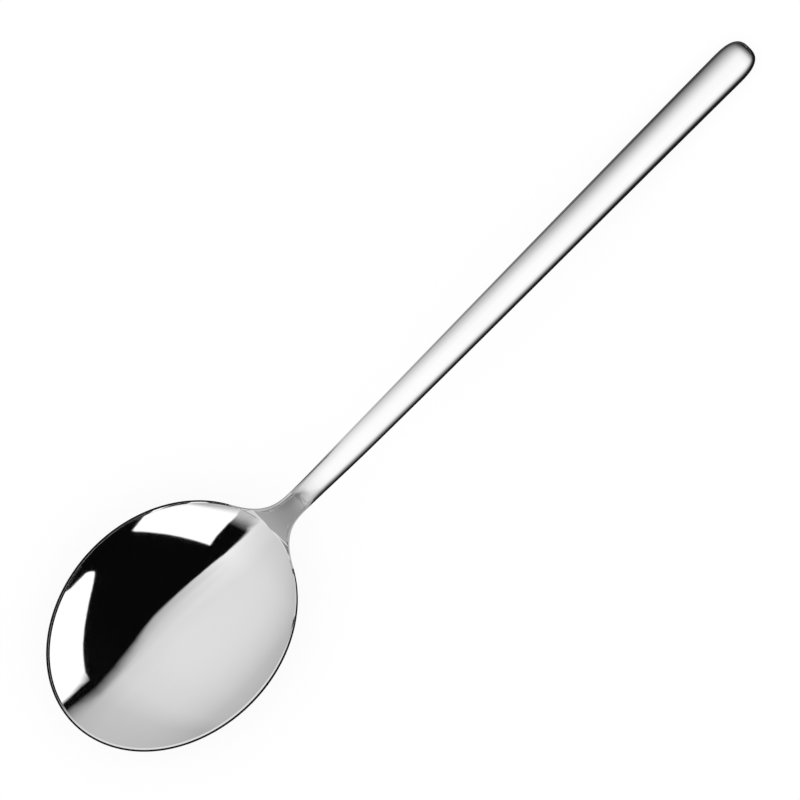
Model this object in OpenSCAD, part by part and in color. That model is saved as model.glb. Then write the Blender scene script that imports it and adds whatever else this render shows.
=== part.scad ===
// Round-bowl soup spoon in polished stainless steel.
// A pressed bowl and a forged handle meet root to root at the narrowest part of the
// neck. A bead fills the V groove around that root and is dressed flush.
// Sizes are in millimetres. X runs along the handle and Z up from the table. The origin
// is the middle of the flat on which the bowl rests, under the bowl's widest section.

/* [Bowl] */
// Width of the bowl over its rim
bowl_w = 40.7; // [36:0.1:46]
// Length of the bowl from its widest section to the tip
tip_len = 25.6; // [22:0.1:30]
// Length of the bowl from its widest section to the crease before the neck
back_len = 25.1; // [21:0.1:28]
// Depth of the hollow below the rim
bowl_depth = 8.5; // [6.5:0.1:10.5]
// Steel left between the hollow's lowest point and the table
base_t = 1.5; // [1.1:0.05:2]
// Height of the rim's edge
rim_t = 1.2; // [0.9:0.05:1.6]
// Width of the rounded outer edge of the rim, seen from above
lip_w = 0.4; // [0.3:0.05:0.6]
// Width of the narrow land inside that edge, which leans into the hollow
land_w = 0.3; // [0.15:0.05:0.5]
// Depth to which the belly is dressed away to make the rest flat
rest_cut = 0.25; // [0.1:0.05:0.45]

/* [Neck] */
// Width of the neck at its narrowest section, where it is welded
neck_w = 4.36; // [3.8:0.02:5.6]
// Thickness of the neck at the weld
neck_t = 3.6; // [3:0.05:4.4]
// Length from the crease behind the bowl to the weld
neck_len = 7.6; // [6.6:0.1:9.4]
// Length of the flat web on top of the neck, from the crease to its point
web_len = 9.3; // [8.6:0.1:11]

/* [Handle] */
// Length of the handle from the weld to its end
handle_len = 116.9; // [90:0.1:150]
// Height of the top of the handle's arch above the table
arch_h = 20.2; // [18:0.1:24]
// Width where the neck has swelled into the handle
swell_w = 5; // [4.6:0.02:5.8]
// Width of the handle beside its rounded end
end_w = 6.95; // [6.4:0.05:8.5]
// Thickness of the handle beside its rounded end
end_t = 4.0; // [3.2:0.05:5]
// Length of the rounded end
end_len = 6; // [4.5:0.1:8]

/* [Weld] */
// Width of the V groove at the surface
groove_w = 2.4; // [1.6:0.1:3.2]

/* [Hidden] */

// Shares, chosen by hand
blend_share = 0.916;    // where the oval gives way to the neck's fillet, of back_len
lift_share = 0.18;      // where the side line starts to climb, before the crease, of neck_len
fade_share = 0.15;      // where the rim's lip starts to widen, before the crease, of neck_len
lip_share = 0.6;        // where it has become the neck's side, past the crease, of neck_len
rise_share = 0.49;      // height of the side line at the weld, from the rim to the arch
arch_share = 0.112;     // top of the arch, of handle_len
swell_share = 0.133;    // where the neck has swelled, of handle_len
back_share = 0.404;     // middle of the long slope down the handle, of handle_len
fall_share = 0.6;       // height there, from half the end's thickness to the arch
root_share = 0.4;       // size of the unbeveled root, of the neck's section
crown_share = 0.52;     // steel above the side line, of the thickness
lip_span_share = 0.36;  // the first points in from a side of the handle, of its half width
land_span_share = 0.46; // the next point in
bottom_span_share = 0.1; // overrun of the cut below the table, of the bowl's width

// Forms: 1 is a parabola for a dish and a bevel for a rounding, 2 is an ellipse
bowl_form = 1;      // hollow and belly
lip_form = 1.1;     // top of the rim's lip
section_form = 2.2; // crown of the neck and the handle
end_form = 2.9;     // outline of the handle's end
keel_form = 3;      // how the belly's keel runs into the neck's

// Slopes of the rim's land, the side line and the outline, in millimetres a millimetre
land_slope = 0.45;
weld_slope = 0.66;
back_slope = -0.2;
swell_taper = 0.0134;
end_taper = 0.008;

// Angles
quarter_turn = 90;
cap_turn = 86; // stops short of the quarter, so that the end keeps a small face

// Counts of facets
tip_n = 16;
back_n = 14;
fillet_n = 4;
web_n = 8;
bead_n = 4;
handle_n = 34;
cap_n = 8;
lip_n = 4;
hollow_n = 12;
belly_n = 14;

// Derived sizes
half_bowl = bowl_w / 2;
rim_w = lip_w + land_w;
dish_depth = bowl_depth - land_slope * land_w;
rim_z = bowl_depth + base_t;
edge_z = rim_z - rim_t / 2;
belly_h = edge_z - rim_t / 2 + rest_cut;

// Places along the spoon
crease_x = back_len;
weld_x = crease_x + neck_len;
web_x = crease_x + web_len;
land_fade_x = crease_x - neck_len;
lip_fade_x = crease_x - neck_len * fade_share;
lip_gone_x = crease_x + neck_len * lip_share;
lift_x = crease_x - neck_len * lift_share;
blend_x = back_len * blend_share;
end_x = weld_x + handle_len;
cap_x = end_x - end_len;
arch_x = weld_x + handle_len * arch_share;
swell_x = weld_x + handle_len * swell_share;
back_x = weld_x + handle_len * back_share;

// Blends two values, with t from 0 to 1
function mix(a, b, t) = a + (b - a) * t;

// Rises smoothly from 0 at a to 1 at b
function ease(a, b, x) =
    let (t = min(1, max(0, (x - a) / (b - a))))
    t * t * (3 - 2 * t);

// A smooth curve through knots, each [place, value, slope]
function curve(knots, x, i = 0) =
    i < len(knots) - 2 && x > knots[i + 1][0]
        ? curve(knots, x, i + 1)
        : let (
            a = knots[i],
            b = knots[i + 1],
            span = b[0] - a[0],
            t = min(1, max(0, (x - a[0]) / span)),
            u = 1 - t
          )
          a[1] * u * u * (1 + 2 * t) + b[1] * t * t * (3 - 2 * t)
          + span * t * u * (a[2] * u - b[2] * t);

// How much of its full section the handle keeps in its rounded end
function end_share(x) =
    x <= cap_x ? 1 : pow(max(0, 1 - pow((x - cap_x) / end_len, end_form)), 1 / end_form);

// Steel above and below the side line
function steel_t(x) = mix(neck_t, end_t, max(0, x - weld_x) / (cap_x - weld_x)) * end_share(x);
function up(x) = mix(rim_t / 2, crown_share * steel_t(x), ease(lip_fade_x, lip_gone_x, x));
function down(x) = mix(rim_t / 2, (1 - crown_share) * steel_t(x), ease(lip_fade_x, lip_gone_x, x));

// Outline behind the widest section: an oval, a fillet, then the slim bar
oval_end = half_bowl * sqrt(1 - blend_share * blend_share);
oval_slope = -half_bowl * half_bowl * blend_x / (back_len * back_len * oval_end);
outline = [
    [blend_x, oval_end, oval_slope],
    [weld_x, neck_w / 2, 0],
    [swell_x, swell_w / 2, swell_taper],
    [cap_x, end_w / 2, end_taper],
];
function half_w(x) =
    x < blend_x
        ? half_bowl * sqrt(1 - pow(x / back_len, 2))
        : curve(outline, x) * end_share(x);

// Height of the widest line along the spoon's side
side_line = [
    [lift_x, edge_z, 0],
    [weld_x, mix(edge_z, arch_h, rise_share), weld_slope],
    [arch_x, arch_h - crown_share * steel_t(arch_x), 0],
    [back_x, mix(end_t / 2, arch_h, fall_share), back_slope],
    [cap_x, (1 - crown_share) * end_t, 0],
];
function side_z(x) = curve(side_line, x);

// The flat web lies at the rim's height and then climbs to its point on the neck's crown
web_slope = (side_z(web_x) + up(web_x) - rim_z) / web_len;
function web_z(x) = rim_z + max(0, x - crease_x) * web_slope;

// A station is [place, its shift for each millimetre inwards, half width, loss of that]
function tip_station(a) = [-tip_len * cos(a), cos(a), half_bowl * sin(a), sin(a)];
function bar_station(x) = [x, 0, half_w(x), 1];

// A spot on a station is [x, y, distance in from the side]
function spot(s, inset, share) =
    let (half = s[2] - inset * s[3])
    [s[0] + inset * s[1], share * half, inset + (1 - abs(share)) * half];

// How far in from the side the rounding reaches
function side_span(x) =
    x < lip_fade_x ? lip_w : mix(lip_w, half_w(x), ease(lip_fade_x, lip_gone_x, x));

// The rounded side, from 0 at the side line to 1 where it ends
function side_round(p, form) =
    pow(max(0, 1 - pow(max(0, 1 - p[2] / side_span(p[0])), form)), 1 / form);
function top_form(x) = mix(lip_form, section_form, ease(lip_fade_x, lip_gone_x, x));

// Share of the full depth of an oval dish that reaches a length and a half width
function dish(p, reach, half) =
    pow(max(0, 1 - pow(p[0] / reach, 2) - pow(p[1] / half, 2)), bowl_form);

// Share of the full depth of the belly behind the widest section, along it and across it
function along(x) = pow(max(0, 1 - pow(x / crease_x, 2)), bowl_form);
function across(p) = pow(max(0, 1 - pow(p[1] / half_w(p[0]), 2)), bowl_form);

// Depth of the keel below the side line, from the belly into the neck
function keel(x) =
    let (
        fade = ease(lip_fade_x, lip_gone_x, x),
        belly = mix(rim_t / 2, 0, fade) + belly_h * along(x),
        neck = (1 - crown_share) * steel_t(x) * min(1, x / crease_x)
    )
    fade == 1 ? down(x) : pow(pow(belly, keel_form) + pow(neck, keel_form), 1 / keel_form);

// Drop of the land from the lip's top into the hollow, gone at the crease
function land_drop(p) =
    land_slope * min(land_w, max(0, p[2] - lip_w)) * (1 - ease(land_fade_x, crease_x, p[0]));

// Heights of the top and the underside at a spot
function top_z(p) =
    min(web_z(p[0]), side_z(p[0]) + up(p[0]) * side_round(p, top_form(p[0])))
    - land_drop(p)
    - dish_depth * dish(p, p[0] < 0 ? tip_len - rim_w : crease_x, half_bowl - rim_w);
function under_z(p) =
    side_z(p[0]) - down(p[0]) * side_round(p, section_form)
    - (p[0] < 0
        ? belly_h * dish(p, tip_len, half_bowl)
        : (keel(p[0]) - down(p[0])) * across(p));

// Insets of the points on the rounded side, and of the point after them
function bar_blend(x) = ease(crease_x, lip_gone_x, x);
function lip_inset(s, j) =
    let (
        blend = bar_blend(s[0]),
        reach = mix(lip_w, lip_span_share * s[2], blend),
        turn = mix(quarter_turn, acos(1 - lip_span_share), blend)
    )
    reach * (1 - cos(turn * j / lip_n)) / (1 - cos(turn));
function land_inset(s) = mix(rim_w, land_span_share * s[2], bar_blend(s[0]));

// The spots round a station: over the top from +Y to -Y, and back underneath
function top_spots(s) = [
    for (j = [0:lip_n]) spot(s, lip_inset(s, j), 1),
    for (j = [0:hollow_n]) spot(s, land_inset(s), 1 - 2 * j / hollow_n),
    for (j = [lip_n:-1:0]) spot(s, lip_inset(s, j), -1),
];
function under_spots(s) = [
    for (j = [1:lip_n]) spot(s, lip_inset(s, j), -1),
    for (j = [1:belly_n - 1]) spot(s, lip_inset(s, lip_n), 2 * j / belly_n - 1),
    for (j = [lip_n:-1:1]) spot(s, lip_inset(s, j), 1),
];
ring_n = 4 * lip_n + hollow_n + belly_n + 2;

// A closed loop of points round the spoon at a station
function ring(s) = [
    for (p = top_spots(s)) [p[0], p[1], top_z(p)],
    for (p = under_spots(s)) [p[0], p[1], under_z(p)],
];
function bar_ring(x) = ring(bar_station(x));

// The unbeveled root face in the middle of the weld
root_ring = [
    for (p = bar_ring(weld_x))
        [weld_x, root_share * p[1], mix(side_z(weld_x), p[2], root_share)]
];

// A solid through rings. A first ring that is folded flat closes itself, and looped
// rings are joined last to first. Their faces are split the other way, so that a bead
// and the bevels that it fills share every edge.
module skin(rings, folded = false, looped = false) {
    points = [for (r = rings) each r];
    spans = looped ? len(rings) : len(rings) - 1;
    sides = [
        for (i = [0:spans - 1], j = [0:ring_n - 1])
            let (
                a = i * ring_n,
                b = (i + 1) % len(rings) * ring_n,
                k = (j + 1) % ring_n
            )
            each looped
                ? [[a + j, b + j, a + k], [b + j, b + k, a + k]]
                : [[a + j, b + j, b + k], [a + j, b + k, a + k]]
    ];
    last = spans * ring_n;
    starts = folded || looped ? [] : [for (j = [1:ring_n - 2]) [0, j, j + 1]];
    finishes = looped ? [] : [for (j = [1:ring_n - 2]) [last, last + j + 1, last + j]];
    // Where a ring is folded or shrinks to a point, some sides have no area
    polyhedron(points, [
        for (f = concat(sides, starts, finishes))
            if (points[f[0]] != points[f[1]]
                && points[f[1]] != points[f[2]]
                && points[f[2]] != points[f[0]]) f
    ]);
}

tip_rings = [for (i = [0:tip_n - 1]) ring(tip_station(quarter_turn * i / tip_n))];
back_rings = [for (i = [0:back_n - 1]) bar_ring(blend_x * sin(quarter_turn * i / back_n))];
fillet_rings = [for (i = [0:fillet_n - 1]) bar_ring(mix(blend_x, crease_x, i / fillet_n))];
web_rings = [
    for (i = [0:web_n]) bar_ring(mix(crease_x, weld_x - groove_w / 2, i / web_n))
];

module bowl() {
    color("silver")
        difference() {
            skin(
                concat(tip_rings, back_rings, fillet_rings, web_rings, [root_ring]),
                folded = true
            );
            translate([-tip_len, -half_bowl, -bottom_span_share * bowl_w])
                cube([tip_len + back_len, bowl_w, bottom_span_share * bowl_w]);
        }
}

module neck_weld() {
    color("dimgray")
        skin(
            concat(
                [for (i = [0:bead_n]) bar_ring(weld_x + groove_w * (i / bead_n - 1 / 2))],
                [root_ring]
            ),
            looped = true
        );
}

module handle() {
    bar_start = weld_x + groove_w / 2;
    color("gainsboro")
        skin(
            concat(
                [root_ring],
                [for (i = [0:handle_n]) bar_ring(mix(bar_start, cap_x, i / handle_n))],
                [
                    for (i = [1:cap_n])
                        bar_ring(cap_x + end_len * pow(sin(cap_turn * i / cap_n), 2 / end_form))
                ]
            )
        );
}

bowl();
neck_weld();
handle();
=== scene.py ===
"""Looks of the round-bowl soup spoon in polished stainless steel.

The bowl, the weld and the handle are skinned from the same station loft as the CAD
part, with many more stations, and stand for its three nodes. Lengths in this file
are in millimetres and become metres when a mesh is written.
"""

import math

import bmesh
import bpy
import numpy as np
from mathutils import Matrix, Vector

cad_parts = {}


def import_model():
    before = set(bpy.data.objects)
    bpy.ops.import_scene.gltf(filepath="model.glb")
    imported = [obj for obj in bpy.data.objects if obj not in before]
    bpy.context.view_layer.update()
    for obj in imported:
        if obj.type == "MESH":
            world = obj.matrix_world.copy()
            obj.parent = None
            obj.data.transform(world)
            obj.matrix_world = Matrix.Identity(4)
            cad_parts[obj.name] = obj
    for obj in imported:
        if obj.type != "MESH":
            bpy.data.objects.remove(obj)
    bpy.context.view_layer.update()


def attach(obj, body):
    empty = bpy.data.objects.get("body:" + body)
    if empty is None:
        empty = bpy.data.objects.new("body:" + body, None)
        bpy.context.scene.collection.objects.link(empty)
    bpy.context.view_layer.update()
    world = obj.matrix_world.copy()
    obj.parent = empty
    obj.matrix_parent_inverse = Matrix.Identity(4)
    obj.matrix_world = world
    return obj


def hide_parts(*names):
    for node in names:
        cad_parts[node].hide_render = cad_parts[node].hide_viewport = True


MM = 0.001

# Named lengths of the part, as in its CAD source
BOWL_W = 40.7
TIP_LEN = 25.6
BACK_LEN = 25.1
BOWL_DEPTH = 8.5
BASE_T = 1.5
RIM_T = 1.2
LIP_W = 0.4
LAND_W = 0.3
REST_CUT = 0.25
NECK_W = 4.36
NECK_T = 3.6
NECK_LEN = 7.6
WEB_LEN = 9.3
HANDLE_LEN = 116.9
ARCH_H = 20.2
SWELL_W = 5
END_W = 6.95
END_T = 4.0
END_LEN = 6
GROOVE_W = 2.4

# Shares, forms and slopes of the part
BLEND_SHARE = 0.916
LIFT_SHARE = 0.18
FADE_SHARE = 0.15
LIP_SHARE = 0.6
RISE_SHARE = 0.49
ARCH_SHARE = 0.112
SWELL_SHARE = 0.133
BACK_SHARE = 0.404
FALL_SHARE = 0.6
ROOT_SHARE = 0.4
CROWN_SHARE = 0.52
LIP_SPAN_SHARE = 0.36
LAND_SPAN_SHARE = 0.46
BOWL_FORM = 1
LIP_FORM = 1.1
SECTION_FORM = 2.2
END_FORM = 2.9
KEEL_FORM = 3
LAND_SLOPE = 0.45
WELD_SLOPE = 0.66
BACK_SLOPE = -0.2
SWELL_TAPER = 0.0134
END_TAPER = 0.008
CAP_TURN = 86

# Counts of stations and of points round a station
TIP_N = 72
BACK_N = 64
FILLET_N = 20
WEB_N = 56
BEAD_N = 12
HANDLE_N = 200
CAP_N = 32
LIP_N = 10
HOLLOW_N = 72
BELLY_N = 56

# Where the points by the lip's inner edge are, as shares of the way over lip and land
LIP_LAST = 0.97
LAND_STEPS = np.array([0.06, 0.9, 1.0])

# Points that agree to a hundred-thousandth of a millimetre are one point
KEYS_PER_MM = 1e5

# Least width and area to divide by
TINY_W = 1e-9
TINY_AREA = 1e-12

# Places along the spoon
HALF_BOWL = BOWL_W / 2
RIM_W = LIP_W + LAND_W
DISH_DEPTH = BOWL_DEPTH - LAND_SLOPE * LAND_W
RIM_Z = BOWL_DEPTH + BASE_T
EDGE_Z = RIM_Z - RIM_T / 2
BELLY_H = EDGE_Z - RIM_T / 2 + REST_CUT
CREASE_X = BACK_LEN
WELD_X = CREASE_X + NECK_LEN
WEB_X = CREASE_X + WEB_LEN
LAND_FADE_X = CREASE_X - NECK_LEN
LIP_FADE_X = CREASE_X - NECK_LEN * FADE_SHARE
LIP_GONE_X = CREASE_X + NECK_LEN * LIP_SHARE
LIFT_X = CREASE_X - NECK_LEN * LIFT_SHARE
BLEND_X = BACK_LEN * BLEND_SHARE
END_X = WELD_X + HANDLE_LEN
CAP_X = END_X - END_LEN
ARCH_X = WELD_X + HANDLE_LEN * ARCH_SHARE
SWELL_X = WELD_X + HANDLE_LEN * SWELL_SHARE
BACK_X = WELD_X + HANDLE_LEN * BACK_SHARE

# The view of the photograph. Its clip distances are in metres
VIEW_X = 58.42
VIEW_Y = -0.25
VIEW_Z = 10.0
VIEW_FAR = 1200.0
VIEW_TILT = math.radians(1.4)
FIELD = 146.0
SENSOR = 36.0
CLIP_NEAR = 0.01
CLIP_FAR = 50


def mix(a, b, t):
    """The value at the share t of the way from a to b."""
    return a + (b - a) * t


def ease(a, b, x):
    """A soft step from 0 at a to 1 at b."""
    t = np.clip((x - a) / (b - a), 0, 1)
    return t * t * (3 - 2 * t)


def curve(knots, x):
    """A smooth curve through knots, each (place, value, slope)."""
    k = np.array(knots, dtype=float)
    x = np.asarray(x, dtype=float)
    i = np.clip(np.searchsorted(k[:, 0], x, side="left") - 1, 0, len(k) - 2)
    a, b = k[i], k[i + 1]
    span = b[..., 0] - a[..., 0]
    t = np.clip((x - a[..., 0]) / span, 0, 1)
    u = 1 - t
    ends = a[..., 1] * u * u * (1 + 2 * t) + b[..., 1] * t * t * (3 - 2 * t)
    return ends + span * t * u * (a[..., 2] * u - b[..., 2] * t)


def end_share(x):
    """Share of the handle's width and thickness that its rounded end leaves."""
    past = np.clip((x - CAP_X) / END_LEN, 0, 1)
    return np.maximum(0, 1 - past**END_FORM) ** (1 / END_FORM)


def steel_t(x):
    along_handle = np.maximum(0, x - WELD_X) / (CAP_X - WELD_X)
    return mix(NECK_T, END_T, along_handle) * end_share(x)


def up(x):
    """Height of the crown over the side line."""
    return mix(RIM_T / 2, CROWN_SHARE * steel_t(x), ease(LIP_FADE_X, LIP_GONE_X, x))


def down(x):
    """Depth of the underside below the side line, without the belly."""
    return mix(RIM_T / 2, (1 - CROWN_SHARE) * steel_t(x), ease(LIP_FADE_X, LIP_GONE_X, x))


OVAL_END = HALF_BOWL * math.sqrt(1 - BLEND_SHARE**2)
OVAL_SLOPE = -HALF_BOWL * HALF_BOWL * BLEND_X / (BACK_LEN * BACK_LEN * OVAL_END)
OUTLINE = [
    (BLEND_X, OVAL_END, OVAL_SLOPE),
    (WELD_X, NECK_W / 2, 0),
    (SWELL_X, SWELL_W / 2, SWELL_TAPER),
    (CAP_X, END_W / 2, END_TAPER),
]
SIDE_LINE = [
    (LIFT_X, EDGE_Z, 0),
    (WELD_X, mix(EDGE_Z, ARCH_H, RISE_SHARE), WELD_SLOPE),
    (ARCH_X, ARCH_H - CROWN_SHARE * float(steel_t(ARCH_X)), 0),
    (BACK_X, mix(END_T / 2, ARCH_H, FALL_SHARE), BACK_SLOPE),
    (CAP_X, (1 - CROWN_SHARE) * END_T, 0),
]


def half_w(x):
    """Half the width of the outline."""
    x = np.asarray(x, dtype=float)
    oval = HALF_BOWL * np.sqrt(np.maximum(0, 1 - (x / BACK_LEN) ** 2))
    return np.where(x < BLEND_X, oval, curve(OUTLINE, x) * end_share(x))


def side_z(x):
    """Height of the side line, which the widest points follow."""
    return curve(SIDE_LINE, x)


WEB_SLOPE = float(side_z(WEB_X) + up(WEB_X) - RIM_Z) / WEB_LEN


def web_z(x):
    return RIM_Z + np.maximum(0, x - CREASE_X) * WEB_SLOPE


def tip_station(turn):
    """(place, shift for each millimetre inwards, half width, loss of half width)."""
    c, s = math.cos(turn), math.sin(turn)
    return (-TIP_LEN * c, c, HALF_BOWL * s, s)


def bar_station(x):
    return (x, 0.0, float(half_w(x)), 1.0)


def spots(s, inset, share):
    """Spots on a station: columns x, y and distance in from the side."""
    inset = np.broadcast_to(inset, np.shape(share)).astype(float)
    half = s[2] - inset * s[3]
    deep = inset + (1 - np.abs(share)) * half
    return np.stack([s[0] + inset * s[1], share * half, deep], axis=1)


def side_span(x):
    fade = ease(LIP_FADE_X, LIP_GONE_X, x)
    return np.where(x < LIP_FADE_X, LIP_W, mix(LIP_W, half_w(x), fade))


def side_round(p, form):
    off = np.maximum(0, 1 - p[:, 2] / side_span(p[:, 0]))
    return np.maximum(0, 1 - off**form) ** (1 / form)


def top_form(x):
    return mix(LIP_FORM, SECTION_FORM, ease(LIP_FADE_X, LIP_GONE_X, x))


def dish(p, reach, half):
    """Share of the full depth of an oval dish that reaches a length and a half width."""
    rest = 1 - (p[:, 0] / reach) ** 2 - (p[:, 1] / half) ** 2
    return np.maximum(0, rest) ** BOWL_FORM


def along(x):
    return np.maximum(0, 1 - (x / CREASE_X) ** 2) ** BOWL_FORM


def across(p):
    half = np.maximum(half_w(p[:, 0]), TINY_W)
    return np.maximum(0, 1 - (p[:, 1] / half) ** 2) ** BOWL_FORM


def keel(x):
    """Depth of the middle of the underside below the side line."""
    fade = ease(LIP_FADE_X, LIP_GONE_X, x)
    belly = mix(RIM_T / 2, 0, fade) + BELLY_H * along(x)
    neck = np.maximum((1 - CROWN_SHARE) * steel_t(x) * np.minimum(1, x / CREASE_X), 0)
    both = (belly**KEEL_FORM + neck**KEEL_FORM) ** (1 / KEEL_FORM)
    return np.where(fade == 1, down(x), both)


def land_drop(p):
    reach = np.clip(p[:, 2] - LIP_W, 0, LAND_W)
    return LAND_SLOPE * reach * (1 - ease(LAND_FADE_X, CREASE_X, p[:, 0]))


def top_z(p):
    x = p[:, 0]
    roof = np.minimum(web_z(x), side_z(x) + up(x) * side_round(p, top_form(x)))
    reach = np.where(x < 0, TIP_LEN - RIM_W, CREASE_X)
    return roof - land_drop(p) - DISH_DEPTH * dish(p, reach, HALF_BOWL - RIM_W)


def under_z(p):
    x = p[:, 0]
    tip_belly = BELLY_H * dish(p, TIP_LEN, HALF_BOWL)
    belly = np.where(x < 0, tip_belly, (keel(x) - down(x)) * across(p))
    return side_z(x) - down(x) * side_round(p, SECTION_FORM) - belly


def bar_blend(x):
    return float(ease(CREASE_X, LIP_GONE_X, x))


def lip_insets(s):
    blend = bar_blend(s[0])
    reach = mix(LIP_W, LIP_SPAN_SHARE * s[2], blend)
    turn = mix(math.pi / 2, math.acos(1 - LIP_SPAN_SHARE), blend)
    steps = np.arange(LIP_N + 1) / LIP_N
    share = (1 - np.cos(turn * steps)) / (1 - math.cos(turn))
    return reach * np.insert(share, LIP_N, LIP_LAST)


def land_insets(s, lip_end):
    """Insets of the land's first points, close to the lip, and of its last."""
    end = mix(RIM_W, LAND_SPAN_SHARE * s[2], bar_blend(s[0]))
    return mix(lip_end, end, LAND_STEPS)


def ring(s):
    """A closed loop round the spoon: over the top from +Y to -Y and back underneath."""
    lips = lip_insets(s)
    one = np.ones(len(lips))
    lands = land_insets(s, lips[-1])
    fan = np.cos(math.pi * np.arange(HOLLOW_N + 1) / HOLLOW_N)
    top = np.vstack([
        spots(s, lips, one),
        spots(s, lands[:-1], one[:2]),
        spots(s, lands[-1], fan),
        spots(s, lands[-2::-1], -one[:2]),
        spots(s, lips[::-1], -one),
    ])
    low_fan = -np.cos(math.pi * np.arange(1, BELLY_N) / BELLY_N)
    under = np.vstack([
        spots(s, lips[1:], -one[1:]),
        spots(s, lips[-1], low_fan),
        spots(s, lips[:0:-1], one[1:]),
    ])
    over = np.column_stack([top[:, :2], top_z(top)])
    below = np.column_stack([under[:, :2], np.maximum(under_z(under), 0)])
    return np.vstack([over, below])


def bar_ring(x):
    return ring(bar_station(x))


def root_ring():
    """The unbeveled root face in the middle of the weld."""
    r = bar_ring(WELD_X)
    middle = float(side_z(WELD_X))
    return np.column_stack([
        np.full(len(r), WELD_X), ROOT_SHARE * r[:, 1], mix(middle, r[:, 2], ROOT_SHARE)
    ])


def bowl_rings():
    tip = [ring(tip_station(math.pi / 2 * i / TIP_N)) for i in range(TIP_N)]
    back = [bar_ring(BLEND_X * math.sin(math.pi / 2 * i / BACK_N)) for i in range(BACK_N)]
    fillet = [bar_ring(mix(BLEND_X, CREASE_X, i / FILLET_N)) for i in range(FILLET_N)]
    bevel = WELD_X - GROOVE_W / 2
    web = [bar_ring(mix(CREASE_X, bevel, i / WEB_N)) for i in range(WEB_N + 1)]
    return tip + back + fillet + web


def bead_rings():
    return [bar_ring(WELD_X + GROOVE_W * (i / BEAD_N - 0.5)) for i in range(BEAD_N + 1)]


def handle_rings():
    start = WELD_X + GROOVE_W / 2
    bar = [bar_ring(mix(start, CAP_X, i / HANDLE_N)) for i in range(HANDLE_N + 1)]
    last = math.radians(CAP_TURN)
    cap = [
        bar_ring(CAP_X + END_LEN * math.sin(last * i / CAP_N) ** (2 / END_FORM))
        for i in range(1, CAP_N + 1)
    ]
    return bar + cap


def side_quads(spans, n):
    """Faces between rings of n points that follow each other."""
    i, j = np.meshgrid(np.arange(spans), np.arange(n), indexing="ij")
    k = (j + 1) % n
    here, there = i * n, (i + 1) * n
    return np.stack([here + j, there + j, there + k, here + k], axis=-1).reshape(-1, 4)


def weld_points(points):
    """The index of the first point at the same place, for each point."""
    keys = np.round(points * KEYS_PER_MM).astype(np.int64)
    _, first, back = np.unique(keys, axis=0, return_index=True, return_inverse=True)
    return first[back.reshape(-1)]


def tidy_face(face):
    """A face without doubled points, or nothing where no face is left."""
    kept = [v for i, v in enumerate(face) if v != face[i - 1]]
    return kept if len(set(kept)) == len(kept) and len(kept) > 2 else None


def face_normal(points, face):
    """Area-weighted normal of a polygon."""
    p = points[face]
    return np.cross(p, np.roll(p, -1, axis=0)).sum(axis=0) / 2


def skin_normals(rings):
    """Smooth normals of the whole skin, so that the pieces' seams don't show."""
    n = len(rings[0])
    points = np.vstack(rings)
    first = weld_points(points)
    quads = side_quads(len(rings) - 1, n)
    p = points[quads]
    area = np.cross(p[:, 2] - p[:, 0], p[:, 3] - p[:, 1]) / 2
    total = np.zeros_like(points)
    for c in range(4):
        np.add.at(total, first[quads[:, c]], area)
    end = np.arange(len(points) - n, len(points))
    np.add.at(total, first[end], face_normal(points, end[::-1]))
    total = total[first]
    return total / np.maximum(np.linalg.norm(total, axis=1), TINY_AREA)[:, None]


def bridge(a, b, n):
    """Inner faces between two rings of n points that start at a and b."""
    ends = [(j, (j + 1) % n) for j in range(n)]
    return [((a + j, b + j, b + k, a + k), False) for j, k in ends]


def make_piece(name, rings, normals, front=None, finish=None):
    """A closed piece from rings of the skin. Front and finish are its inner rings."""
    n = len(rings[0])
    inner = [r for r in (front, finish) if r is not None]
    points = np.vstack(rings + inner)
    faces = [(q, True) for q in side_quads(len(rings) - 1, n)]
    last = (len(rings) - 1) * n
    at = len(rings) * n
    if front is not None:
        faces += bridge(at, 0, n)
        if finish is None:
            faces.append((tuple(range(at, at + n)), False))
        at += n
    if finish is None:
        faces.append((tuple(range(last + n - 1, last - 1, -1)), True))
    else:
        faces += bridge(last, at, n)
        if front is None:
            faces.append((tuple(range(at + n - 1, at - 1, -1)), False))
    return write_mesh(name, points, faces, normals)


def new_object(name, data):
    made = bpy.data.objects.new(name, data)
    bpy.context.scene.collection.objects.link(made)
    return made


def write_mesh(name, points, faces, normals):
    """An object from faces, each with whether it is part of the outer skin."""
    first = weld_points(points)
    used = np.unique(first)
    place = {int(v): i for i, v in enumerate(used)}
    kept, smooth = [], []
    for face, outer in faces:
        clean = tidy_face([int(first[v]) for v in face])
        if clean:
            kept.append(clean)
            smooth.append(outer)
    mesh = bpy.data.meshes.new(name)
    mesh.from_pydata(points[used] * MM, [], [[place[v] for v in f] for f in kept])
    loops = []
    for face, outer in zip(kept, smooth):
        if outer:
            loops.extend(Vector(normals[v]) for v in face)
        else:
            flat = Vector(face_normal(points, np.array(face))).normalized()
            loops.extend([flat] * len(face))
    mesh.polygons.foreach_set("use_smooth", [True] * len(mesh.polygons))
    mesh.normals_split_custom_set(loops)
    mesh.validate()
    return new_object(name, mesh)


# Nodes

def new_material(name):
    material = bpy.data.materials.new(name)
    material.use_nodes = True
    material.node_tree.nodes.clear()
    return material, material.node_tree


def link(tree, source, target):
    tree.links.new(source, target)


def node(tree, kind, **values):
    made = tree.nodes.new(kind)
    for key, value in values.items():
        setattr(made, key, value)
    return made


def math_node(tree, operation, a, b):
    """Two values, each a socket or a number, put through one operation."""
    made = node(tree, "ShaderNodeMath", operation=operation)
    for socket, value in zip(made.inputs, (a, b)):
        if hasattr(value, "links"):
            link(tree, value, socket)
        else:
            socket.default_value = value
    return made.outputs[0]


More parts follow.
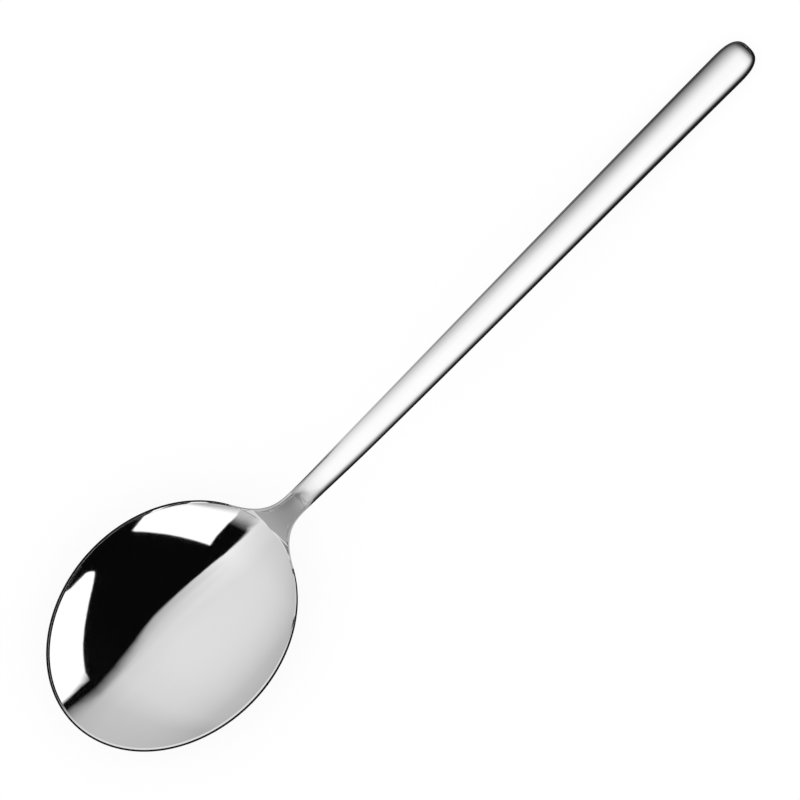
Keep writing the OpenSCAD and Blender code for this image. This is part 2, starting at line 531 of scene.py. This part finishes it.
def ramp_node(tree, factor, stops):
    """A grey ramp through stops, each (place, value)."""
    made = node(tree, "ShaderNodeValToRGB")
    ramp = made.color_ramp
    while len(ramp.elements) > 1:
        ramp.elements.remove(ramp.elements[-1])
    ramp.elements[0].position = stops[0][0]
    ramp.elements[0].color = (stops[0][1],) * 3 + (1,)
    for place, value in stops[1:]:
        ramp.elements.new(place).color = (value,) * 3 + (1,)
    link(tree, factor, made.inputs["Fac"])
    return made.outputs["Color"]


def noise_node(tree, place, scale, detail):
    made = node(tree, "ShaderNodeTexNoise")
    made.inputs["Scale"].default_value = scale
    made.inputs["Detail"].default_value = detail
    link(tree, place, made.inputs["Vector"])
    return made.outputs["Fac"]


# The steel's finish: polishing lines, cloudy haze from handling, and wear on edges. The
# scales are noise cells to a metre, and the bump's height is in metres
STEEL_SHADE = 0.86
GRAIN_SCALE = (90, 2600, 2600)
GRAIN_DETAIL = 3
GRAIN_ROUGH = 0.018
BOWL_GRAIN_TURN = 0.5
BAR_GRAIN_TURN = 0.0
CLOUD_SCALE = 70
CLOUD_DETAIL = 4
CLOUD_ROUGH = 0.03
CLOUD_STOPS = [(0.3, 0.975 * STEEL_SHADE), (0.7, STEEL_SHADE)]
WEAR_STOPS = [(0.52, 0.0), (0.6, 0.06)]
LEAST_ROUGH = 0.01
BUMP_SHARE = 0.02
BUMP_HEIGHT = 0.00004


def grain_noise(tree, place, turn):
    """Fine lines, drawn out along the spoon and turned a little."""
    turned = node(tree, "ShaderNodeMapping")
    turned.inputs["Rotation"].default_value = (0, 0, turn)
    turned.inputs["Scale"].default_value = GRAIN_SCALE
    link(tree, place, turned.inputs["Vector"])
    return noise_node(tree, turned.outputs[0], 1, GRAIN_DETAIL)


def steel_roughness(tree, grain, cloud):
    rub = math_node(tree, "MULTIPLY", grain, GRAIN_ROUGH)
    haze = math_node(tree, "MULTIPLY", cloud, CLOUD_ROUGH)
    edge = node(tree, "ShaderNodeNewGeometry")
    worn = ramp_node(tree, edge.outputs["Pointiness"], WEAR_STOPS)
    rough = math_node(tree, "ADD", rub, haze)
    rough = math_node(tree, "ADD", rough, worn)
    return math_node(tree, "ADD", rough, LEAST_ROUGH)


def steel_bump(tree, grain):
    bump = node(tree, "ShaderNodeBump")
    bump.inputs["Strength"].default_value = BUMP_SHARE
    bump.inputs["Distance"].default_value = BUMP_HEIGHT
    link(tree, grain, bump.inputs["Height"])
    return bump.outputs[0]


def steel_material(name, grain_turn):
    """Mirror-polished stainless steel with faint polishing lines and handling marks."""
    material, tree = new_material(name)
    shader = node(tree, "ShaderNodeBsdfPrincipled")
    out = node(tree, "ShaderNodeOutputMaterial")
    link(tree, shader.outputs[0], out.inputs["Surface"])
    place = node(tree, "ShaderNodeTexCoord").outputs["Object"]
    grain = grain_noise(tree, place, grain_turn)
    cloud = noise_node(tree, place, CLOUD_SCALE, CLOUD_DETAIL)
    shader.inputs["Metallic"].default_value = 1
    link(tree, ramp_node(tree, cloud, CLOUD_STOPS), shader.inputs["Base Color"])
    link(tree, steel_roughness(tree, grain, cloud), shader.inputs["Roughness"])
    link(tree, steel_bump(tree, grain), shader.inputs["Normal"])
    return material


# Stage

FLOOR_SHADE = 0.12
FLOOR_GLOW = 0.89
FLOOR_FAR = 6000


def stage_mesh(name, points, faces, material):
    mesh = bpy.data.meshes.new(name)
    mesh.from_pydata([Vector(p) * MM for p in points], [], faces)
    mesh.materials.append(material)
    card = new_object(name, mesh)
    return card


def only_reflected(card):
    card.visible_camera = False
    card.visible_diffuse = False
    card.visible_shadow = False
    card.visible_transmission = False
    card.visible_volume_scatter = False
    return card


def floor_material():
    material, tree = new_material("floor_white")
    dull = node(tree, "ShaderNodeBsdfDiffuse")
    dull.inputs["Color"].default_value = (FLOOR_SHADE, FLOOR_SHADE, FLOOR_SHADE, 1)
    shine = node(tree, "ShaderNodeEmission")
    shine.inputs["Strength"].default_value = FLOOR_GLOW
    both = node(tree, "ShaderNodeAddShader")
    out = node(tree, "ShaderNodeOutputMaterial")
    link(tree, dull.outputs[0], both.inputs[0])
    link(tree, shine.outputs[0], both.inputs[1])
    link(tree, both.outputs[0], out.inputs["Surface"])
    return material


def add_floor():
    far = FLOOR_FAR
    points = [(-far, -far, 0), (far, -far, 0), (far, far, 0), (-far, far, 0)]
    return stage_mesh("floor", points, [[0, 1, 2, 3]], floor_material())


# Cards that only the polished steel mirrors. Each has a level at each of its points, and
# 1 is the white of the floor

def level_material():
    material, tree = new_material("card_glow")
    level = node(tree, "ShaderNodeAttribute", attribute_name="level")
    shine = node(tree, "ShaderNodeEmission")
    out = node(tree, "ShaderNodeOutputMaterial")
    link(tree, level.outputs["Fac"], shine.inputs["Strength"])
    link(tree, shine.outputs[0], out.inputs["Surface"])
    return material


def level_card(name, points, levels, material):
    """A card from a grid of points, each with its level."""
    rows, columns = levels.shape
    i, j = np.meshgrid(np.arange(rows - 1), np.arange(columns - 1), indexing="ij")
    at = (i * columns + j).reshape(-1)
    faces = np.stack([at, at + columns, at + columns + 1, at + 1], axis=-1)
    card = stage_mesh(name, points.reshape(-1, 3), faces.tolist(), material)
    layer = card.data.attributes.new("level", "FLOAT", "POINT")
    layer.data.foreach_set("value", levels.reshape(-1).astype(np.float32))
    return only_reflected(card)


WHITE = 1.2
BLACK = 0.002
LID_Z = 50.0
LID_FAR = 260.0
WALL_X = 32.5
SCREEN_X = WALL_X + 0.02

# The grey sky on the lid: its brightest place, and its grey by the distance from there
SKY_X = -20
SKY_Y = 15
SKY_GREYS = ([0, 30, 60, 90, 150, 280], [0.87, 0.84, 0.74, 0.62, 0.5, 0.45])
SKY_PLACES = [LID_FAR, 110, 70, 45, 25, 10]
# Share of that grey along the spoon: the neck's web mirrors the darker far end
FAR_SKY = (
    [-420, -215, -195, -183, -170, -163, -156, -148, -130, -80, -50, 0, 20, WALL_X],
    [1, 0.95, 0.85, 0.7, 0.6, 0.6, 0.7, 0.95, 1, 0.94, 0.95, 1, 0.98, 0.86],
)
# A dark streak in that sky, for the crease on the neck's web: its depth along the spoon,
# its place across, and the brighter line before it
STREAK = ([-183, -170, -156, -148, -130], [0, 0.2, 0.45, 0.45, 0.3])
STREAK_Y = -3.4
BRIGHT_Y = -6.4
BRIGHT_SHARE = 0.4
# How the sky fades towards the dark band: place along the spoon, then its share at the
# band's edge, halfway to the middle and at the middle
SKY_EDGE = [
    (-31, 1.25, 1.15, 1.1), (-27, 1.08, 1.08, 1.06), (-24, 0.85, 0.97, 1.02),
    (-20, 0.62, 0.87, 0.97), (10, 0.58, 0.84, 0.96), (WALL_X, 0.42, 0.76, 0.94),
]
# Places where the lid is plain sky, farther off than its windows
PLAIN_X = [-420, -215, -195, -183, -170, -163, -156, -148, -130, -90]
PLAIN_Y = [
    LID_FAR, 110, 70, 45, 10, -2.4, STREAK_Y, -4.6, BRIGHT_Y, -20, -42, -44, -150, -200,
    -LID_FAR,
]
# The lid over the bowl: at each place along the spoon, where the grey sky ends, where
# the dark band starts and ends, where the window starts and ends, and the band's level
LID = [
    (-80, -14, -25, -36.5, -38, -197, 0.55),
    (-70, -13, -19, -33.5, -35, -185, 0.15),
    (-64, -12, -15, -32.5, -34, -178, 0.0),
    (-48, -11, -12.5, -28, -29, -158, 0.0),
    (-42, -10.5, -12, -26.5, -27.5, -149, 0.0),
    (-40, -10.5, -11.8, -25.6, -26.6, -136, 0.0),
    (-38, -10.5, -11.5, -24.8, -25.8, -108, 0.0),
    (-36, -10.5, -11.3, -23.8, -24.8, -80, 0.0),
    (-34.4, -10.5, -11.3, -23, -24, -52, 0.0),
    (-33.6, -10.5, -11.3, -34, -34.5, -35, 0.0),
    (0, -11.5, -13, -120, -120.5, -121, 0.0),
    (5.6, -9.5, -12, -121, -121.5, -122, 0.0),
    (6.4, -9, -11.8, -116, -117, -127, 0.0),
    (9, -7.5, -11, -103, -104.5, -139, 0.0),
    (13, -6, -10.3, -87, -88.5, -151, 0.0),
    (20, -4, -9.3, -64.5, -66, -153, 0.0),
    (28, -4, -9.2, -39.5, -41, -156, 0.0),
    (WALL_X, -4, -9.4, -21, -24, -158, 0.0),
]
# A window narrower than this is dark, and a window fades out between these distances
# from where it ends
LEAST_WINDOW = 2
FADE_START = 0.5
FADE_END = -5


def sky_level(x, y):
    """The grey of the lid's sky, brightest a little behind the bowl's middle."""
    far = math.hypot(x - SKY_X, y - SKY_Y)
    return float(np.interp(far, *SKY_GREYS)) * float(np.interp(x, *FAR_SKY))


def sky_row(x, sky_end):
    """Places across the sky's part of a row, and their levels."""
    along_x, *columns = zip(*SKY_EDGE)
    at_end, halfway, middle = (float(np.interp(x, along_x, c)) for c in columns)
    places = SKY_PLACES + [0, sky_end / 2, sky_end]
    shares = [1] * len(SKY_PLACES) + [middle, halfway, at_end]
    return places, [share * sky_level(x, y) for y, share in zip(places, shares)]


def plain_row(x):
    """Levels across the lid where it is plain sky with the streak in it."""
    depth = float(np.interp(x, *STREAK))
    shares = {STREAK_Y: 1 - depth, BRIGHT_Y: 1 + BRIGHT_SHARE * depth}
    return [shares.get(y, 1) * sky_level(x, y) for y in PLAIN_Y]


def add_lid(material):
    points = [[(x, y, LID_Z) for y in PLAIN_Y] for x in PLAIN_X]
    levels = [plain_row(x) for x in PLAIN_X]
    for x, sky_end, band, band_end, window, sill, dark in LID:
        skies, shades = sky_row(x, sky_end)
        edges = [band, band_end, window, sill + FADE_START, sill + FADE_END, -LID_FAR]
        inside = WHITE if window - sill > LEAST_WINDOW else BLACK
        shades += [dark + BLACK, dark + BLACK, inside, inside, BLACK, BLACK]
        points.append([(x, y, LID_Z) for y in skies + edges])
        levels.append(shades)
    return level_card("card_lid", np.array(points), np.array(levels), material)


# The wall at the lid's front edge: height, then the same places across as in the lid
WALL = [
    (LID_Z, -4, -9.4, -15, -24, -158),
    (45, -5.5, -9.6, -14.5, -18, -144),
    (40, -7.5, -10, -13.5, -15.5, -131),
    (30, -8.5, -10.5, -13, -14.5, -104),
    (11, -8.5, -10.5, -13, -14.5, -60),
]
# How the wall fades downwards, and the heights of its foot, dark for the bowl's outline
WALL_FADE = ([0, 40, LID_Z], [0.8, 0.92, 1])
WALL_FOOT = (10, 0)


def add_wall(material):
    points, levels = [], []
    for z, sky_end, band, band_end, window, sill in WALL:
        skies, shades = sky_row(WALL_X, sky_end)
        edges = [band, band_end, window, sill, sill + FADE_END, -LID_FAR]
        fade = float(np.interp(z, *WALL_FADE))
        shades = [fade * shade for shade in shades]
        shades += [BLACK, BLACK, WHITE, WHITE, BLACK, BLACK]
        points.append([(WALL_X, y, z) for y in skies + edges])
        levels.append(shades)
    for z in WALL_FOOT:
        points.append([(WALL_X, y, z) for _, y, _ in points[-1]])
        levels.append([BLACK] * len(levels[-1]))
    return level_card("card_wall", np.array(points), np.array(levels), material)


# The tent over the handle: degrees from straight up, towards +Y, and the level there
# over three places, near the neck, further along and by the handle's end
TENT_R = 70.0
TENT_OVER = [50, 118, 146]
TENT = [
    (94, 0.70, 0.34, 0.16), (79, 0.78, 0.44, 0.22), (60, 0.87, 0.54, 0.36),
    (46, 0.95, 0.67, 0.48), (35, 1.01, 0.80, 0.64), (26, 1.06, 0.91, 0.76),
    (18, 1.10, 1.02, 0.88), (11, 1.13, 1.06, 0.99), (5, 1.14, 1.10, 1.06),
    (0, 1.15, 1.14, 1.11), (-30, 1.14, 1.16, 1.16), (-44, 0.92, 1.06, 1.10),
    (-58, 0.46, 0.70, 0.78), (-73, 0.16, 0.24, 0.21), (-88, 0.06, 0.04, 0.02),
    (-94, 0.01, 0.01, 0.01),
]
# Its places along the spoon, and how it fades past the handle's end
TENT_PLACES = [SCREEN_X, 50, 118, 146, 165, 180, 192, 206, 230, 284, 420, 900]
TENT_FADES = [1, 1, 1, 1, 1, 0.9, 0.74, 0.45, 0.22, 0.05, 0.01, 0.01]


def round_spot(far, turn):
    """Place across and height, at a distance and at degrees from straight up."""
    return far * math.sin(math.radians(turn)), far * math.cos(math.radians(turn))


def add_tent(material):
    points, levels = [], []
    for x, fade in zip(TENT_PLACES, TENT_FADES):
        points.append([(x, *round_spot(TENT_R, row[0])) for row in TENT])
        levels.append([fade * float(np.interp(x, TENT_OVER, row[1:])) for row in TENT])
    return level_card("card_tent", np.array(points), np.array(levels), material)


# The screen behind the wall, that the neck mirrors, carries on the tent's shades round a
# centre over the neck. The shares and greys change at a turn in degrees
SCREEN_Y = 0.7
SCREEN_Z = 17.0
SCREEN_TURN = -20
# Distance from that centre, the tent's share behind the turn and before it, the pattern's
# width to its height, and the grey that is mixed in behind the turn and before it
SCREEN = [
    (0, 0, 0, 0.6, 0.26, 0.26), (0.6, 0.1, 0, 0.6, 0.34, 0.5),
    (2.6, 0.5, 0, 0.7, 0.4, 0.68), (4.4, 0.76, 0.2, 0.85, 0.44, 0.75),
    (9.5, 0.93, 0.85, 1, 0.44, 0.75), (20, 1, 1, 1, 0.44, 0.75),
    (TENT_R, 1, 1, 1, 0.44, 0.75),
]


def screen_spot(far, narrow, turn):
    across, rise = round_spot(far, turn)
    rest = 1 - far / TENT_R
    return SCREEN_X, SCREEN_Y * rest + narrow * across, SCREEN_Z * rest + rise


def screen_level(row, turn, level):
    _, back, front, _, grey_back, grey_front = row
    if turn > SCREEN_TURN:
        return mix(grey_back, level, back)
    return mix(grey_front, level, front)


def add_screen(material):
    points = [[screen_spot(row[0], row[3], t[0]) for t in TENT] for row in SCREEN]
    levels = [[screen_level(row, t[0], t[1]) for t in TENT] for row in SCREEN]
    return level_card("card_screen", np.array(points), np.array(levels), material)


# The screen below the centre of its shades: places across, then each height's levels
FOOT_Y = (80, 8, 2, 1, 0, -1.2, -4.5, -6, -80)
FOOT = [
    (SCREEN_Z, 0.5, 0.55, 0.45, 0.24, 0.36, 0.46, 0.4, 0.02, 0.02),
    (16, 0.45, 0.5, 0.42, 0.2, 0.31, 0.42, 0.35, 0.02, 0.02),
    (10, 0.3, 0.3, 0.3, 0.3, 0.3, 0.3, 0.3, 0.02, 0.02),
    (0, 0.2, 0.2, 0.2, 0.2, 0.2, 0.2, 0.2, 0.02, 0.02),
]


def add_screen_foot(material):
    points = [[(SCREEN_X, y, row[0]) for y in FOOT_Y] for row in FOOT]
    levels = [row[1:] for row in FOOT]
    return level_card("card_screen_foot", np.array(points), np.array(levels), material)


# Sheets beside the neck: place along the spoon and distance from its middle, then height
# and the level behind the neck and before it
SHEET_LINE = [(24, 9.0), (26.5, 6.0), (WALL_X, 5.0)]
SHEETS = [
    (14.5, 0.5, 0.35), (13, 0.5, 0.38), (12, 0.6, 0.42),
    (10, 0.45, 0.5), (5, 0.15, 0.5), (0, 0.1, 0.5),
]
# Name, side and column of the levels
NECK_SIDES = [("behind_neck", 1, 1), ("before_neck", -1, 2)]


def add_side_sheets(material):
    for name, side, column in NECK_SIDES:
        points = [[(x, side * y, row[0]) for x, y in SHEET_LINE] for row in SHEETS]
        levels = [[row[column]] * len(SHEET_LINE) for row in SHEETS]
        level_card("card_" + name, np.array(points), np.array(levels), material)


# Narrow strips close to the neck's edges: place, distance from the middle, height of the
# line that the web's edge mirrors, and how far the strip fades to its grey
STRIP_GREY = 0.34
STRIP_FOOT = 11.5
STRIP_LINE = [
    (22, 5.0, 12.5, 1), (25.2, 5.2, 12.3, 0.9), (27, 4.2, 12.4, 0.5),
    (29.5, 3.7, 14.2, 0), (WALL_X, 3.4, 16.9, 0),
]
# Height over that line, and the level behind the neck and before it
STRIPS = [
    (3, 0.3, 0.34), (0.3, 0.1, 0.34), (-0.2, 0.12, 0.34), (-0.45, 0.65, 0.34),
    (-2, 0.6, 0.32),
]


def strip_row(side, over):
    return [(x, side * y, max(STRIP_FOOT, z + over)) for x, y, z, _ in STRIP_LINE]


def add_strips(material):
    fades = [row[3] for row in STRIP_LINE]
    for name, side, column in NECK_SIDES:
        points = [strip_row(side, row[0]) for row in STRIPS]
        levels = [[mix(row[column], STRIP_GREY, f) for f in fades] for row in STRIPS]
        level_card("strip_" + name, np.array(points), np.array(levels), material)


# Dark sheets under the spoon: place along it and the level on its +Y side. The -Y side is
# dark all along
FLAGS = [
    (-400, 0.01), (30, 0.01), (38, 0.2), (45, 0.6), (95, 0.2), (131, 0.07), (300, 0.01),
]
FLAG_Y = (400, 3, 0, -3, -400)
FLAG_Z = 0.05
FLAG_FRONT = 0.01


def add_floor_flags(material):
    points = [[(x, y, FLAG_Z) for y in FLAG_Y] for x, _ in FLAGS]
    levels = [[b, b, b / 2, FLAG_FRONT, FLAG_FRONT] for _, b in FLAGS]
    return level_card("card_under", np.array(points), np.array(levels), material)


# A studio that is dark at its horizon and pale overhead: share of its height, level
DOME_R = 1500
DOME_SEGMENTS = 96
DOME_RINGS = 48
DOME_STOPS = [(0, 0.01), (0.08, 0.04), (0.3, 0.35), (0.6, 0.9), (1, 1)]


def height_share(tree, top):
    """The object's own height as a share of a top height in metres."""
    place = node(tree, "ShaderNodeTexCoord")
    split = node(tree, "ShaderNodeSeparateXYZ")
    share = node(tree, "ShaderNodeMapRange")
    share.inputs["From Max"].default_value = top
    link(tree, place.outputs["Object"], split.inputs[0])
    link(tree, split.outputs["Z"], share.inputs["Value"])
    return share.outputs[0]


def dome_material():
    material, tree = new_material("studio_glow")
    shine = node(tree, "ShaderNodeEmission")
    out = node(tree, "ShaderNodeOutputMaterial")
    level = ramp_node(tree, height_share(tree, DOME_R * MM), DOME_STOPS)
    link(tree, level, shine.inputs["Color"])
    link(tree, shine.outputs[0], out.inputs["Surface"])
    return material


def add_dome():
    bm = bmesh.new()
    bmesh.ops.create_uvsphere(
        bm, u_segments=DOME_SEGMENTS, v_segments=DOME_RINGS, radius=DOME_R * MM
    )
    mesh = bpy.data.meshes.new("studio_dome")
    bm.to_mesh(mesh)
    bm.free()
    mesh.materials.append(dome_material())
    dome = new_object("studio_dome", mesh)
    return only_reflected(dome)


def add_cards():
    material = level_material()
    add_lid(material)
    add_wall(material)
    add_screen(material)
    add_screen_foot(material)
    add_side_sheets(material)
    add_strips(material)
    add_tent(material)
    add_floor_flags(material)


def set_world():
    world = bpy.data.worlds.new("studio")
    bpy.context.scene.world = world
    world.use_nodes = True
    back = world.node_tree.nodes["Background"]
    back.inputs["Color"].default_value = (1, 1, 1, 1)
    back.inputs["Strength"].default_value = 1


def add_camera():
    data = bpy.data.cameras.new("camera")
    camera = new_object("camera", data)
    aim = Vector((VIEW_X, VIEW_Y, VIEW_Z)) * MM
    back = Vector((0, math.sin(VIEW_TILT), math.cos(VIEW_TILT)))
    rise = Vector((1, 1, 0))
    rise = (rise - back * rise.dot(back)).normalized()
    right = rise.cross(back)
    turn = Matrix((right, rise, back)).transposed().to_4x4()
    camera.matrix_world = Matrix.Translation(aim + back * VIEW_FAR * MM) @ turn
    data.sensor_width = SENSOR
    data.lens = SENSOR * VIEW_FAR / FIELD
    data.clip_start = CLIP_NEAR
    data.clip_end = CLIP_FAR
    bpy.context.scene.camera = camera


def build_spoon():
    """The bowl, the weld and the handle, from one skin."""
    bowl, bead, handle = bowl_rings(), bead_rings(), handle_rings()
    normals = skin_normals(bowl + bead[1:] + handle[1:])
    n = len(bowl[0])
    root = root_ring()
    bead_at = (len(bowl) - 1) * n
    handle_at = bead_at + (len(bead) - 1) * n
    return [
        make_piece("bowl_shell", bowl, normals, finish=root),
        make_piece("weld_bead", bead, normals[bead_at:], front=root, finish=root),
        make_piece("handle_bar", handle, normals[handle_at:], front=root),
    ]


def dress(piece, node_name, material):
    """Gives a piece its steel in a material slot and its body, and hides the CAD part of
    the node that it stands for.
    """
    piece.data.materials.append(material)
    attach(piece, "root")
    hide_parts(node_name)


def main():
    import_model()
    bowl, bead, handle = build_spoon()
    bowl_look = steel_material("bowl_polish", BOWL_GRAIN_TURN)
    weld_look = steel_material("weld_polish", BAR_GRAIN_TURN)
    handle_look = steel_material("handle_polish", BAR_GRAIN_TURN)
    dress(bowl, "bowl", bowl_look)
    dress(bead, "neck_weld", weld_look)
    dress(handle, "handle", handle_look)
    set_world()
    add_floor()
    add_dome()
    add_cards()
    add_camera()
    bpy.context.scene.view_settings.view_transform = "Standard"


main()
